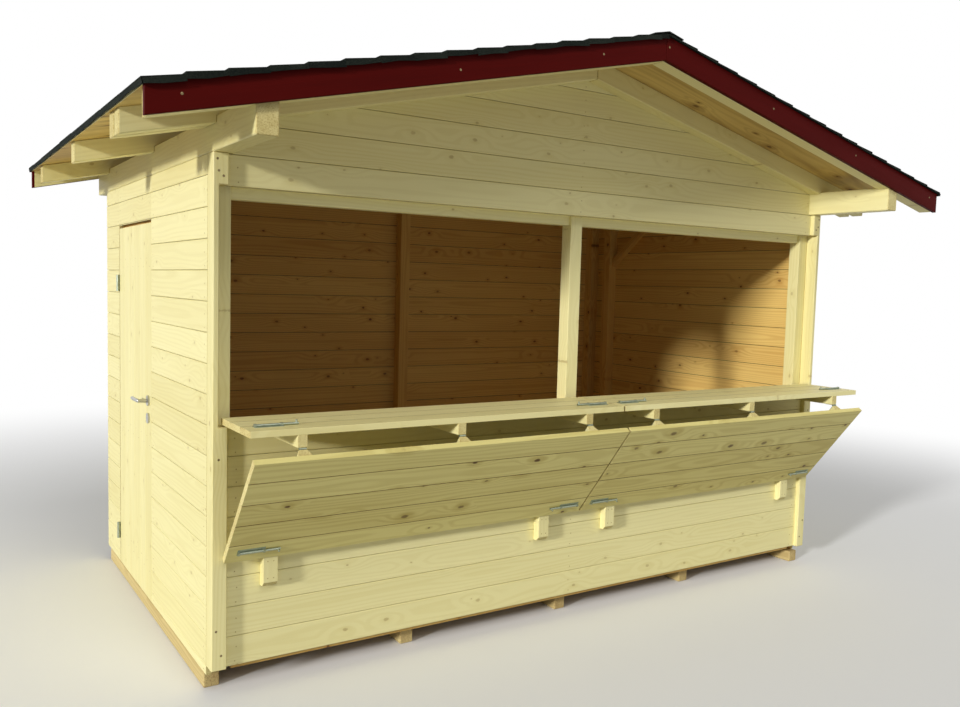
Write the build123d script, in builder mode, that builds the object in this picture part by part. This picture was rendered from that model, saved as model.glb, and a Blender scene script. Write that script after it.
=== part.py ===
from build123d import *
from math import asin, atan, cos, hypot, radians, sin, tan
import os

os.makedirs("parts", exist_ok=True)

# Overall sizes of the stall, in millimetres.
stall_width = 3600
stall_depth = 2064
eaves_height = 2103
roof_pitch = 13.2
front_overhang = 496
back_overhang = 271
side_overhang = 353

# Timber and board sections.
board_cover = 120
board_thickness = 20
stud_size = 70
rail_height = 45
bearer_size = 63
bearer_front_setbacks = (104, 104, 104, 104, 45)
bearer_back_setback = 70
floor_thickness = 22
floor_side_margin = 25
plate_width = 80
plate_height = 125
rafter_depth = 90
rafter_thickness = 70
rafter_heel = 28
rafter_tail_cut = 13
ridge_joint = 0.6
deck_thickness = 12
shingle_thickness = 9
shingle_overhang = 14
ridge_cap_width = 170
ridge_cap_thickness = 5
barge_thickness = 22
joint_gap = 0.3

# Front: rebated posts, the boards between them and the shutter opening.
front_foot = 104
side_foot = 66
sill_board_count = 8
front_post_width = 60
rebate_depth = 72
rebate_lip = 24
front_board_setback = 25
head_reveal = 121
head_drop = 44
head_setback = 15

# Folding shutters: a level counter leaf and a longer flap that props it.
leaf_thickness = 25
leaf_side_gap = 17
leaf_centre_gap = 3
counter_depth = 348
counter_clearance = 8
flap_length = 569
batten_inner_inset = 204
batten_outer_inset = 194
counter_batten_width = 38
counter_batten_height = 47
counter_batten_length = 300
flap_batten_base = 57
flap_batten_crown = 32
flap_batten_height = 28
flap_batten_length = 540
shutter_hinge_width = 28
shutter_hinge_leaf = 45
shutter_hinge_thickness = 2
shutter_hinge_radius = 4
sill_hinge_reach = 480
cleat_inner_inset = 208.5
cleat_outer_inset = 189
cleat_width = 60
cleat_height = 126
cleat_reach = 15
cleat_bevel = 18

# Barrel bolts on the faces of the shutters that shut against the stops.
bolt_plate_length = 110
bolt_plate_width = 32
bolt_plate_thickness = 2
bolt_rod_radius = 5
bolt_rod_seat = 1
bolt_rod_length = 170
bolt_guide_width = 9
bolt_knob_radius = 4
bolt_knob_height = 14
bolt_edge_inset = 40
counter_bolt_inset = 85
flap_bolt_inset = 60

# Door in the left wall, hinged on its rear edge.
door_near = 990
door_far = 1720
door_head_drop = 204
door_foot = 68
door_gap = 5
door_head_gap = 15
door_ledge_width = 95
door_ledge_thickness = 22
door_ledge_foot_inset = 162
door_ledge_top_inset = 184
door_ledge_clearance = 37
door_brace_width = 80
door_stop_width = 20
hinge_height = 87
hinge_foot_inset = 131
hinge_top_inset = 333
hinge_pin_radius = 4
hinge_knuckle_radius = 8
hinge_pin_proud = 9
hinge_leaf_width = 34
hinge_leaf_thickness = 2
hinge_knuckle_gap = 1
hinge_cap = 6
lever_height = 1040
lever_backset = 50
lever_reach = 48
lever_length = 125
lever_radius = 9
lever_spindle_radius = 5
lever_plate_radius = 25
lever_plate_thickness = 8
key_plate_drop = 85
key_slot_width = 4
key_slot_height = 12
running_gap = 0.4

# Wall frame places, measured back from the front face of the posts.
left_stud_rows = (920, 1720)
right_stud_row = 1764
back_stud_offset = 72
wall_brace_run = 370
wall_brace_rise = 300
wall_brace_width = 45

# Places that follow from the sizes above.
half = stall_width / 2
front = -(stall_depth + back_overhang - front_overhang) / 2
back = front + stall_depth
floor_top = bearer_size + floor_thickness
rail_top = floor_top + rail_height
sill_height = front_foot + sill_board_count * board_cover
head_height = eaves_height - head_reveal
door_head = eaves_height - door_head_drop
board_front = front + front_board_setback
board_back = board_front + board_thickness
stop_face = front + rebate_depth
frame_side = half - board_thickness
frame_back = back - board_thickness
stud_side = frame_side - stud_size
stud_front = stop_face + stud_size
stud_back = frame_back - stud_size
plate_side = half - plate_width
plate_top = eaves_height + plate_height
plate_front = front - front_overhang + barge_thickness
plate_back = back + back_overhang - barge_thickness
post_side = half - front_post_width
roof_side = half + side_overhang
roof_front = front - front_overhang
roof_back = back + back_overhang

# The roof lines rise from the wall faces to the ridge at the middle.
pitch = radians(roof_pitch)
slope = tan(pitch)
rafter_base = plate_top - rafter_heel
rafter_rise = rafter_depth / cos(pitch)
deck_rise = deck_thickness / cos(pitch)
shingle_rise = shingle_thickness / cos(pitch)
cap_rise = ridge_cap_thickness / cos(pitch)


def rafter_line(x):
    """Height of the rafters' underside at a distance from the middle."""
    return rafter_base + (half - abs(x)) * slope


def deck_line(x):
    """Height of the deck's underside, on top of the rafters."""
    return rafter_line(x) + rafter_rise


def roof_line(x):
    """Height of the deck's upper face."""
    return deck_line(x) + deck_rise


def shingle_line(x):
    """Height of the shingles' upper face."""
    return roof_line(x) + shingle_rise


def across(y):
    """Upright plane at y, facing forward, with its own x running right."""
    return Plane.XZ.offset(-y)


def along(x):
    """Upright plane at x, facing right, with its own x running back."""
    return Plane.YZ.offset(x)


def block(low, high, mode=Mode.ADD):
    """Add a squared timber between two opposite corners to the current part."""
    middle = tuple((a + b) / 2 for a, b in zip(low, high))
    size = tuple(b - a for a, b in zip(low, high))
    with Locations(middle):
        Box(*size, mode=mode)


def pair_of_blocks(low, high):
    """Add a timber and its mirror image on the other side of the middle."""
    block(low, high)
    block((-high[0], low[1], low[2]), (-low[0], high[1], high[2]))


# Five bearers run from front to back under the floor.
bearer_spacing = (stall_width - bearer_size) / (len(bearer_front_setbacks) - 1)
with BuildPart() as bearers:
    for number, setback in enumerate(bearer_front_setbacks):
        bearer_left = -half + number * bearer_spacing
        block(
            (bearer_left, front + setback, 0),
            (bearer_left + bearer_size, back - bearer_back_setback, bearer_size),
        )
bearers.part.label = "bearers"
export_step(bearers.part, "parts/bearers.step")

# The floor deck starts at the bearers' front ends and stays clear of the door's foot.
floor_side = half - floor_side_margin
floor_front = front + bearer_front_setbacks[0]
with BuildPart() as floor_deck:
    block((-floor_side, floor_front, bearer_size), (floor_side, frame_back, floor_top))
floor_deck.part.label = "floor_deck"
export_step(floor_deck.part, "parts/floor_deck.step")


def rebated_post(low, high, rebate_low, rebate_high):
    """Front post between two x places, cut back where the shutters close."""
    block((low, front, front_foot), (high, stop_face, eaves_height))
    block(
        (rebate_low, front, sill_height),
        (rebate_high, stop_face, head_height),
        mode=Mode.SUBTRACT,
    )


rebate_side = half - rebate_lip
with BuildPart() as front_posts:
    rebated_post(post_side, half, post_side, rebate_side)
    rebated_post(-half, -post_side, -rebate_side, -post_side)
front_posts.part.label = "front_posts"
export_step(front_posts.part, "parts/front_posts.step")

# The middle post is halved over the head beam and carries up to the gable boards.
head_face = stop_face + head_setback
head_stop = head_height - head_drop
with BuildPart() as centre_post:
    with BuildSketch(along(-stud_size / 2)):
        with BuildLine():
            Polyline(
                (stop_face, floor_top),
                (stud_front, floor_top),
                (stud_front, head_stop),
                (head_face, head_stop),
                (head_face, head_height),
                (stop_face, head_height),
                close=True,
            )
        make_face()
    extrude(amount=stud_size)
centre_post.part.label = "centre_post"
export_step(centre_post.part, "parts/centre_post.step")

# Boards below the counter.
with BuildPart() as front_lower_wall:
    block((-post_side, board_front, front_foot), (post_side, board_back, sill_height))
front_lower_wall.part.label = "front_lower_wall"
export_step(front_lower_wall.part, "parts/front_lower_wall.step")

# A foot rail and a sill rail back those boards, notched round the middle post.
with BuildPart() as front_rails:
    for rail_foot in (floor_top, sill_height - rail_height):
        block(
            (-stud_side, board_back, rail_foot),
            (stud_side, stud_front, rail_foot + rail_height),
        )
    block(
        (-stud_size / 2, stop_face, floor_top),
        (stud_size / 2, stud_front, sill_height),
        mode=Mode.SUBTRACT,
    )
front_rails.part.label = "front_rails"
export_step(front_rails.part, "parts/front_rails.step")

# The head beam stops the shutters at the top and backs the first gable board.
with BuildPart() as head_beam:
    with BuildSketch(along(-stud_side)):
        with BuildLine():
            Polyline(
                (head_face, head_stop),
                (stud_front, head_stop),
                (stud_front, eaves_height),
                (board_back, eaves_height),
                (board_back, head_height),
                (head_face, head_height),
                close=True,
            )
        make_face()
    extrude(amount=2 * stud_side)
head_beam.part.label = "head_beam"
export_step(head_beam.part, "parts/head_beam.step")

# Left wall boards stand in front of, behind and over the doorway.
door_front = front + door_near
door_back = front + door_far
with BuildPart() as left_wall_front:
    block((-half, stop_face, side_foot), (-frame_side, door_front, eaves_height))
left_wall_front.part.label = "left_wall_front"
export_step(left_wall_front.part, "parts/left_wall_front.step")

with BuildPart() as left_wall_rear:
    block((-half, door_back, side_foot), (-frame_side, back, eaves_height))
left_wall_rear.part.label = "left_wall_rear"
export_step(left_wall_rear.part, "parts/left_wall_rear.step")

with BuildPart() as left_wall_over_door:
    block((-half, door_front, door_head), (-frame_side, door_back, eaves_height))
left_wall_over_door.part.label = "left_wall_over_door"
export_step(left_wall_over_door.part, "parts/left_wall_over_door.step")

with BuildPart() as right_wall:
    block((frame_side, stop_face, side_foot), (half, back, eaves_height))
right_wall.part.label = "right_wall"
export_step(right_wall.part, "parts/right_wall.step")

with BuildPart() as back_wall:
    block((-frame_side, frame_back, side_foot), (frame_side, back, eaves_height))
back_wall.part.label = "back_wall"
export_step(back_wall.part, "parts/back_wall.step")


def gable_boards(y, lower_corners):
    """Gable boarding up to the deck, notched over both wall plates."""
    with BuildSketch(across(y)) as outline:
        with BuildLine():
            right_side = lower_corners + [
                (plate_side, eaves_height),
                (plate_side, plate_top),
                (half, plate_top),
                (half, deck_line(half)),
            ]
            left_side = [(-x, z) for x, z in reversed(right_side)]
            Polyline(*right_side, (0, deck_line(0)), *left_side, close=True)
        make_face()
    extrude(outline.sketch, amount=-board_thickness)


with BuildPart() as front_gable:
    gable_boards(board_front, [(post_side, head_height), (post_side, eaves_height)])
front_gable.part.label = "front_gable"
export_step(front_gable.part, "parts/front_gable.step")

with BuildPart() as back_gable:
    gable_boards(frame_back, [])
back_gable.part.label = "back_gable"
export_step(back_gable.part, "parts/back_gable.step")

# Studs at the corners, beside the door and inside the side and back walls.
with BuildPart() as bottom_plates:
    block((-frame_side, stop_face, floor_top), (-stud_side, door_front, rail_top))
    block((-frame_side, door_back, floor_top), (-stud_side, frame_back, rail_top))
    block((stud_side, stop_face, floor_top), (frame_side, frame_back, rail_top))
    block(
        (-stud_side + joint_gap, stud_back, floor_top),
        (stud_side - joint_gap, frame_back, rail_top),
    )
bottom_plates.part.label = "bottom_plates"
export_step(bottom_plates.part, "parts/bottom_plates.step")

with BuildPart() as wall_studs:
    for row in (stop_face, stud_back):
        pair_of_blocks(
            (stud_side, row, rail_top),
            (frame_side, row + stud_size, eaves_height),
        )
    for row in left_stud_rows:
        block(
            (-frame_side, front + row, rail_top),
            (-stud_side, front + row + stud_size, eaves_height),
        )
    block(
        (stud_side, front + right_stud_row, rail_top),
        (frame_side, front + right_stud_row + stud_size, eaves_height),
    )
    block(
        (back_stud_offset - stud_size / 2, stud_back, rail_top),
        (back_stud_offset + stud_size / 2, frame_back, eaves_height),
    )
wall_studs.part.label = "wall_studs"
export_step(wall_studs.part, "parts/wall_studs.step")

# One diagonal brace runs from the right wall's rear stud up to its wall plate.
brace_back = front + right_stud_row
brace_cut = wall_brace_width / cos(radians(45))
with BuildPart() as wall_brace:
    with BuildSketch(along(frame_side - wall_brace_width)):
        with BuildLine():
            Polyline(
                (brace_back, eaves_height - wall_brace_rise),
                (brace_back, eaves_height - wall_brace_rise + brace_cut),
                (brace_back - wall_brace_run + brace_cut, eaves_height),
                (brace_back - wall_brace_run, eaves_height),
                close=True,
            )
        make_face()
    extrude(amount=wall_brace_width)
wall_brace.part.label = "wall_brace"
export_step(wall_brace.part, "parts/wall_brace.step")

# Wall plates run over the side walls and carry the roof's overhangs.
with BuildPart() as wall_plates:
    pair_of_blocks(
        (plate_side, plate_front, eaves_height),
        (half, plate_back, plate_top),
    )
wall_plates.part.label = "wall_plates"
export_step(wall_plates.part, "parts/wall_plates.step")


def roof_pair(y, thickness, end, top_line):
    """Two sloping timbers over the wall plates, meeting at the ridge."""
    with BuildSketch(across(y)) as outline:
        with BuildLine():
            Polyline(
                (ridge_joint / 2, rafter_line(ridge_joint / 2)),
                (ridge_joint / 2, top_line(ridge_joint / 2)),
                (end, top_line(end)),
                (end, rafter_line(end)),
                close=True,
            )
        make_face()
        mirror(about=Plane.YZ)
    extrude(outline.sketch, amount=-thickness)


def rafter_pair(y):
    """A pair of rafters with birdsmouths cut over both wall plates."""
    roof_pair(y, rafter_thickness, roof_side - rafter_tail_cut, deck_line)
    for low in (-half, plate_side):
        block(
            (low, y, eaves_height),
            (low + plate_width, y + rafter_thickness, plate_top),
            mode=Mode.SUBTRACT,
        )


# A rafter pair stands in front of the gable boards and one behind them.
with BuildPart() as outer_rafters:
    rafter_pair(board_front - rafter_thickness)
outer_rafters.part.label = "outer_rafters"
export_step(outer_rafters.part, "parts/outer_rafters.step")

with BuildPart() as front_rafters:
    rafter_pair(board_back)
front_rafters.part.label = "front_rafters"
export_step(front_rafters.part, "parts/front_rafters.step")

with BuildPart() as middle_rafters:
    rafter_pair(front + left_stud_rows[0])
middle_rafters.part.label = "middle_rafters"
export_step(middle_rafters.part, "parts/middle_rafters.step")

with BuildPart() as back_rafters:
    rafter_pair(stud_back)
back_rafters.part.label = "back_rafters"
export_step(back_rafters.part, "parts/back_rafters.step")

# Fly rafters carry the deck's front edge behind the barge boards.
with BuildPart() as fly_rafters:
    rafter_pair(plate_front)
fly_rafters.part.label = "fly_rafters"
export_step(fly_rafters.part, "parts/fly_rafters.step")

with BuildPart() as front_barge_boards:
    roof_pair(roof_front, barge_thickness, roof_side, roof_line)
front_barge_boards.part.label = "front_barge_boards"
export_step(front_barge_boards.part, "parts/front_barge_boards.step")

with BuildPart() as back_barge_boards:
    roof_pair(roof_back - barge_thickness, barge_thickness, roof_side, roof_line)
back_barge_boards.part.label = "back_barge_boards"
export_step(back_barge_boards.part, "parts/back_barge_boards.step")


def roof_sheet(y, length, base_line, rise, end):
    """One sloping layer of the right roof side, from the ridge out to the eaves."""
    with BuildSketch(across(y)) as outline:
        with BuildLine():
            Polyline(
                (0, base_line(0)),
                (0, base_line(0) + rise),
                (end, base_line(end) + rise),
                (end, base_line(end)),
                close=True,
            )
        make_face()
    extrude(outline.sketch, amount=-length)


with BuildPart() as roof_deck_right:
    roof_sheet(plate_front, plate_back - plate_front, deck_line, deck_rise, roof_side)
roof_deck_right.part.label = "roof_deck_right"
export_step(roof_deck_right.part, "parts/roof_deck_right.step")

with BuildPart() as roof_deck_left:
    mirror(roof_deck_right.part, about=Plane.YZ)
roof_deck_left.part.label = "roof_deck_left"
export_step(roof_deck_left.part, "parts/roof_deck_left.step")

# Shingles and their ridge cap reach a little past the deck on every side.
shingle_front = roof_front - shingle_overhang
shingle_length = roof_back + shingle_overhang - shingle_front
shingle_side = roof_side + shingle_overhang
with BuildPart() as shingles_right:
    roof_sheet(shingle_front, shingle_length, roof_line, shingle_rise, shingle_side)
shingles_right.part.label = "shingles_right"
export_step(shingles_right.part, "parts/shingles_right.step")

with BuildPart() as shingles_left:
    mirror(shingles_right.part, about=Plane.YZ)
shingles_left.part.label = "shingles_left"
export_step(shingles_left.part, "parts/shingles_left.step")

cap_side = ridge_cap_width / 2
with BuildPart() as ridge_cap:
    with BuildSketch(across(shingle_front)):
        with BuildLine():
            Polyline(
                (-cap_side, shingle_line(cap_side)),
                (0, shingle_line(0)),
                (cap_side, shingle_line(cap_side)),
                (cap_side, shingle_line(cap_side) + cap_rise),
                (0, shingle_line(0) + cap_rise),
                (-cap_side, shingle_line(cap_side) + cap_rise),
                close=True,
            )
        make_face()
    extrude(amount=-shingle_length)
ridge_cap.part.label = "ridge_cap"
export_step(ridge_cap.part, "parts/ridge_cap.step")

# Counter leaves stand out level from the sill on battens.
leaf_outer = rebate_side - leaf_side_gap
leaf_inner = leaf_centre_gap / 2
leaf_centre = (leaf_inner + leaf_outer) / 2
batten_offsets = (leaf_inner + batten_inner_inset, leaf_centre, leaf_outer - batten_outer_inset)
sill_hinge_offsets = (leaf_centre - sill_hinge_reach, leaf_centre + sill_hinge_reach)
cleat_offsets = (leaf_inner + cleat_inner_inset, leaf_outer - cleat_outer_inset)
counter_front = board_front - counter_depth
counter_base = sill_height + counter_clearance
counter_height = counter_base + leaf_thickness
batten_foot = counter_base - counter_batten_height
with BuildPart() as counter_leaves:
    pair_of_blocks(
        (leaf_inner, counter_front, counter_base),
        (leaf_outer, board_front, counter_height),
    )
counter_leaves.part.label = "counter_leaves"
export_step(counter_leaves.part, "parts/counter_leaves.step")

with BuildPart() as counter_battens:
    for offset in batten_offsets:
        batten_back = counter_front + counter_batten_length
        pair_of_blocks(
            (offset - counter_batten_width / 2, counter_front, batten_foot),
            (offset + counter_batten_width / 2, batten_back, counter_base),
        )
counter_battens.part.label = "counter_battens"
export_step(counter_battens.part, "parts/counter_battens.step")

# The flaps fold down from a pin under the battens' front ends and lean back against the posts.
# The flap's own plane has y out from its back and z down along it.
foot_y = front - joint_gap
pin_to_leaf = shutter_hinge_radius + flap_batten_height
lean = asin((foot_y - counter_front) / hypot(flap_length, pin_to_leaf))
lean += atan(pin_to_leaf / flap_length)
pin_height = batten_foot - shutter_hinge_radius
flap_origin = (
    0,
    counter_front - shutter_hinge_radius * cos(lean),
    pin_height - shutter_hinge_radius * sin(lean),
)
flap_plane = Plane(origin=flap_origin, x_dir=(1, 0, 0), z_dir=(0, sin(lean), -cos(lean)))
flap_face = flap_batten_height + leaf_thickness

with BuildPart(flap_plane) as flap_leaves:
    pair_of_blocks(
        (leaf_inner, flap_batten_height, 0),
        (leaf_outer, flap_face, flap_length),
    )
flap_leaves.part.label = "flap_leaves"
export_step(flap_leaves.part, "parts/flap_leaves.step")

# Flap battens taper away from the flap, to a crown that meets the hinge.
batten_places = [(side * offset, 0) for offset in batten_offsets for side in (-1, 1)]
with BuildPart() as flap_battens:
    with BuildSketch(flap_plane):
        with Locations(*batten_places):
            Polygon(
                (-flap_batten_crown / 2, 0),
                (flap_batten_crown / 2, 0),
                (flap_batten_base / 2, flap_batten_height),
                (-flap_batten_base / 2, flap_batten_height),
                align=None,
            )
    extrude(amount=flap_batten_length)
flap_battens.part.label = "flap_battens"
export_step(flap_battens.part, "parts/flap_battens.step")

# Butt hinges join each pair of battens, and each counter leaf to the sill boards.
flap_hinge_back = counter_front + shutter_hinge_leaf
sill_pin_y = board_front - shutter_hinge_radius
sill_pin_z = counter_base - shutter_hinge_radius
sill_leaf_y = board_front - shutter_hinge_thickness
counter_leaf_z = counter_base - shutter_hinge_thickness
half_hinge = shutter_hinge_width / 2
with BuildPart() as shutter_hinges:
    for x, _ in batten_places:
        block(
            (x - half_hinge, counter_front, batten_foot - shutter_hinge_thickness),
            (x + half_hinge, flap_hinge_back, batten_foot),
        )
        with Locations((x, counter_front, pin_height)):
            Cylinder(shutter_hinge_radius, shutter_hinge_width, rotation=(0, 90, 0))
    with BuildSketch(flap_plane):
        with Locations(*batten_places):
            with Locations((0, -shutter_hinge_thickness / 2)):
                Rectangle(shutter_hinge_width, shutter_hinge_thickness)
    extrude(amount=shutter_hinge_leaf)
    for offset in sill_hinge_offsets:
        for x in (-offset, offset):
            block(
                (x - half_hinge, sill_leaf_y, sill_pin_z - shutter_hinge_leaf),
                (x + half_hinge, board_front, sill_pin_z),
            )
            block(
                (x - half_hinge, sill_pin_y - shutter_hinge_leaf, counter_leaf_z),
                (x + half_hinge, sill_pin_y, counter_base),
            )
            with Locations((x, sill_pin_y, sill_pin_z)):
                Cylinder(shutter_hinge_radius, shutter_hinge_width, rotation=(0, 90, 0))
shutter_hinges.part.label = "shutter_hinges"
export_step(shutter_hinges.part, "parts/shutter_hinges.step")

# The flaps' feet rest on the front corner of four cleats nailed to the wall.
foot_z = flap_origin[2] - flap_length * cos(lean) - flap_batten_height * sin(lean)
cleat_front = front - cleat_reach
cleat_top = foot_z - (foot_y - cleat_front) * tan(lean) - joint_gap
cleat_foot = cleat_top - cleat_height
with BuildPart() as wall_cleats:
    for offset in cleat_offsets:
        for x in (-offset, offset):
            with BuildSketch(along(x - cleat_width / 2)):
                with BuildLine():
                    Polyline(
                        (board_front, cleat_foot),
                        (cleat_front + cleat_bevel, cleat_foot),
                        (cleat_front, cleat_foot + cleat_bevel),
                        (cleat_front, cleat_top),
                        (board_front, cleat_top),
                        close=True,
                    )
                make_face()
            extrude(amount=cleat_width)
wall_cleats.part.label = "wall_cleats"
export_step(wall_cleats.part, "parts/wall_cleats.step")

# Barrel bolts lie near the ends of each leaf, on the counter and on the flap.
flap_bolt_place = flap_length - flap_bolt_inset
counter_bolt_plane = Plane(
    origin=(0, counter_front + counter_bolt_inset, counter_height),
    x_dir=(1, 0, 0),
    z_dir=(0, 0, 1),
)
flap_bolt_plane = Plane(
    origin=(
        0,
        flap_origin[1] + flap_bolt_place * sin(lean) - flap_face * cos(lean),
        flap_origin[2] - flap_bolt_place * cos(lean) - flap_face * sin(lean),
    ),
    x_dir=(1, 0, 0),
    z_dir=(0, -cos(lean), -sin(lean)),
)
bolt_axis = bolt_plate_thickness + bolt_rod_radius - bolt_rod_seat
with BuildPart(counter_bolt_plane, flap_bolt_plane) as barrel_bolts:
    for side in (-1, 1):
        for edge, inward in ((leaf_inner, 1), (leaf_outer, -1)):
            start = edge + inward * bolt_edge_inset
            plate_middle = side * (start + inward * bolt_plate_length / 2)
            with Locations((plate_middle, 0, bolt_plate_thickness / 2)):
                Box(bolt_plate_length, bolt_plate_width, bolt_plate_thickness)
            with Locations((side * (start + inward * bolt_rod_length / 2), 0, bolt_axis)):
                Cylinder(bolt_rod_radius, bolt_rod_length, rotation=(0, 90, 0))
            guide_reach = (bolt_plate_length - bolt_guide_width) / 2
            guide_height = 2 * bolt_axis
            for guide in (plate_middle - guide_reach, plate_middle + guide_reach):
                with Locations((guide, 0, guide_height / 2)):
                    Box(bolt_guide_width, guide_height, guide_height)
            knob = side * (start + inward * (bolt_rod_length - 2 * bolt_knob_radius))
            with Locations((knob, 0, bolt_axis + bolt_knob_height / 2)):
                Cylinder(bolt_knob_radius, bolt_knob_height)
barrel_bolts.part.label = "barrel_bolts"
export_step(barrel_bolts.part, "parts/barrel_bolts.step")

# The doorway's head and the stops that the door shuts against.
with BuildPart() as door_header:
    block(
        (-frame_side, door_front, door_head),
        (-stud_side, door_back, door_head + rail_height),
    )
door_header.part.label = "door_header"
export_step(door_header.part, "parts/door_header.step")

stop_low_x = -frame_side + door_gap
stop_high_x = stop_low_x + door_stop_width
head_stop_foot = door_head - door_head_gap - door_stop_width
side_stop_top = head_stop_foot - joint_gap
with BuildPart() as door_stops:
    block(
        (stop_low_x, door_front, floor_top),
        (stop_high_x, door_front + door_stop_width, side_stop_top),
    )
    block(
        (stop_low_x, door_back - door_stop_width, floor_top),
        (stop_high_x, door_back, side_stop_top),
    )
    block((stop_low_x, door_front, head_stop_foot), (stop_high_x, door_back, door_head))
door_stops.part.label = "door_stops"
export_step(door_stops.part, "parts/door_stops.step")

# Door leaf of upright boards, bored for the lever's spindle and the key.
leaf_near = door_front + door_gap
leaf_far = door_back - door_gap
leaf_top = door_head - door_head_gap
lever_y = leaf_near + lever_backset
key_height = lever_height - key_plate_drop
leaf_middle = -half + board_thickness / 2


def lever_bore(length):
    """Cut the round way for the lever's spindle, through the door or a plate."""
    with Locations((leaf_middle, lever_y, lever_height)):
        Cylinder(
            lever_spindle_radius + running_gap,
            length,
            rotation=(0, 90, 0),
            mode=Mode.SUBTRACT,
        )


def key_way(length):
    """Cut the narrow upright way for the key, through the door or a plate."""
    with Locations((leaf_middle, lever_y, key_height)):
        Box(length, key_slot_width, key_slot_height, mode=Mode.SUBTRACT)


with BuildPart() as door_leaf:
    block((-half, leaf_near, door_foot), (-frame_side, leaf_far, leaf_top))
    lever_bore(2 * board_thickness)
    key_way(2 * board_thickness)
door_leaf.part.label = "door_leaf"
export_step(door_leaf.part, "parts/door_leaf.step")

# Three ledges and two braces hold the boards together on the inside.
ledge_near = door_front + door_stop_width + door_gap
ledge_far = door_back - door_stop_width - door_gap
ledge_half = door_ledge_width / 2
ledge_levels = (
    door_foot + door_ledge_foot_inset,
    key_height - lever_plate_radius - door_ledge_clearance - ledge_half,
    leaf_top - door_ledge_top_inset,
)
with BuildPart() as door_ledges:
    for level in ledge_levels:
        block(
            (-frame_side, ledge_near, level - ledge_half),
            (-frame_side + door_ledge_thickness, ledge_far, level + ledge_half),
        )
    for lower, upper in zip(ledge_levels, ledge_levels[1:]):
        with BuildSketch(along(-frame_side)):
            with BuildLine():
                Polyline(
                    (ledge_far, lower + ledge_half),
                    (ledge_far - door_brace_width, lower + ledge_half),
                    (ledge_near, upper - ledge_half),
                    (ledge_near + door_brace_width, upper - ledge_half),
                    close=True,
                )
            make_face()
        extrude(amount=door_ledge_thickness)
door_ledges.part.label = "door_ledges"
export_step(door_ledges.part, "parts/door_ledges.step")

# Lift-off hinges: the lower half and its pin stay on the frame.
pin_x = -half - hinge_pin_proud
pin_y = door_back - door_gap / 2
half_hinge_height = (hinge_height - hinge_knuckle_gap) / 2
pin_length = hinge_height - hinge_cap
hinge_levels = (door_foot + hinge_foot_inset, leaf_top - hinge_top_inset)


def hinge_half(foot, plate_low):
    """One knuckle with the plate that lies in the gap beside the door."""
    with Locations((pin_x, pin_y, foot + half_hinge_height / 2)):
        Cylinder(hinge_knuckle_radius, half_hinge_height)
    block(
        (pin_x, plate_low, foot),
        (pin_x + hinge_leaf_width, plate_low + hinge_leaf_thickness, foot + half_hinge_height),
    )


with BuildPart() as door_hinges_frame_side:
    for level in hinge_levels:
        hinge_half(level, door_back - hinge_leaf_thickness)
        with Locations((pin_x, pin_y, level + pin_length / 2)):
            Cylinder(hinge_pin_radius, pin_length)
door_hinges_frame_side.part.label = "door_hinges_frame_side"
export_step(door_hinges_frame_side.part, "parts/door_hinges_frame_side.step")

with BuildPart() as door_hinges_leaf_side:
    for level in hinge_levels:
        hinge_half(level + hinge_height - half_hinge_height, leaf_far)
        with Locations((pin_x, pin_y, level + (pin_length + running_gap) / 2)):
            Cylinder(
                hinge_pin_radius + running_gap,
                pin_length + running_gap,
                mode=Mode.SUBTRACT,
            )
door_hinges_leaf_side.part.label = "door_hinges_leaf_side"
export_step(door_hinges_leaf_side.part, "parts/door_hinges_leaf_side.step")

# Round plates for the lever and the key lie on both faces of the door.
plate_centre_reach = (board_thickness + lever_plate_thickness) / 2
with BuildPart() as lock_plates:
    for side in (-1, 1):
        for height in (lever_height, key_height):
            with Locations((leaf_middle + side * plate_centre_reach, lever_y, height)):
                Cylinder(lever_plate_radius, lever_plate_thickness, rotation=(0, 90, 0))
    lever_bore(2 * (board_thickness + lever_plate_thickness))
    key_way(2 * (board_thickness + lever_plate_thickness))
lock_plates.part.label = "lock_plates"
export_step(lock_plates.part, "parts/lock_plates.step")

# The spindle carries a lever on each side, both pointing to the hinges.
lever_start = board_thickness / 2 + lever_plate_thickness + running_gap
lever_axis_reach = board_thickness / 2 + lever_reach
neck_length = lever_axis_reach - lever_start
with BuildPart() as lever_handle:
    with Locations((leaf_middle, lever_y, lever_height)):
        Cylinder(lever_spindle_radius, 2 * lever_axis_reach, rotation=(0, 90, 0))
    for side in (-1, 1):
        neck_x = leaf_middle + side * (lever_start + neck_length / 2)
        grip_x = leaf_middle + side * lever_axis_reach
        with Locations((neck_x, lever_y, lever_height)):
            Cylinder(lever_radius, neck_length, rotation=(0, 90, 0))
        with Locations((grip_x, lever_y + lever_length / 2, lever_height)):
            Cylinder(lever_radius, lever_length, rotation=(90, 0, 0))
        with Locations(
            (grip_x, lever_y, lever_height),
            (grip_x, lever_y + lever_length, lever_height),
        ):
            Sphere(lever_radius)
lever_handle.part.label = "lever_handle"
export_step(lever_handle.part, "parts/lever_handle.step")
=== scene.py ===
"""Looks of the wooden market stall: boards, timbers, shingles, fittings, light and camera."""

import math
import random

import bmesh
import bpy
from mathutils import Matrix, Vector


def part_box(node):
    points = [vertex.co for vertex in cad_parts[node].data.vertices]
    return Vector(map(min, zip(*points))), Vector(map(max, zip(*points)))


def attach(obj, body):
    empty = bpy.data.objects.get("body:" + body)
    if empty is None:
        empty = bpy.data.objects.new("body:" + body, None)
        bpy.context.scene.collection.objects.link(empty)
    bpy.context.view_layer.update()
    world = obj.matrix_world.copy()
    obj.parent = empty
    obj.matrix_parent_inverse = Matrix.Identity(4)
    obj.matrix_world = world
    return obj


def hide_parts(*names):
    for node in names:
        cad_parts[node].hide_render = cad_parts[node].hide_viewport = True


X, Y, Z = Vector((1, 0, 0)), Vector((0, 1, 0)), Vector((0, 0, 1))

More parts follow.
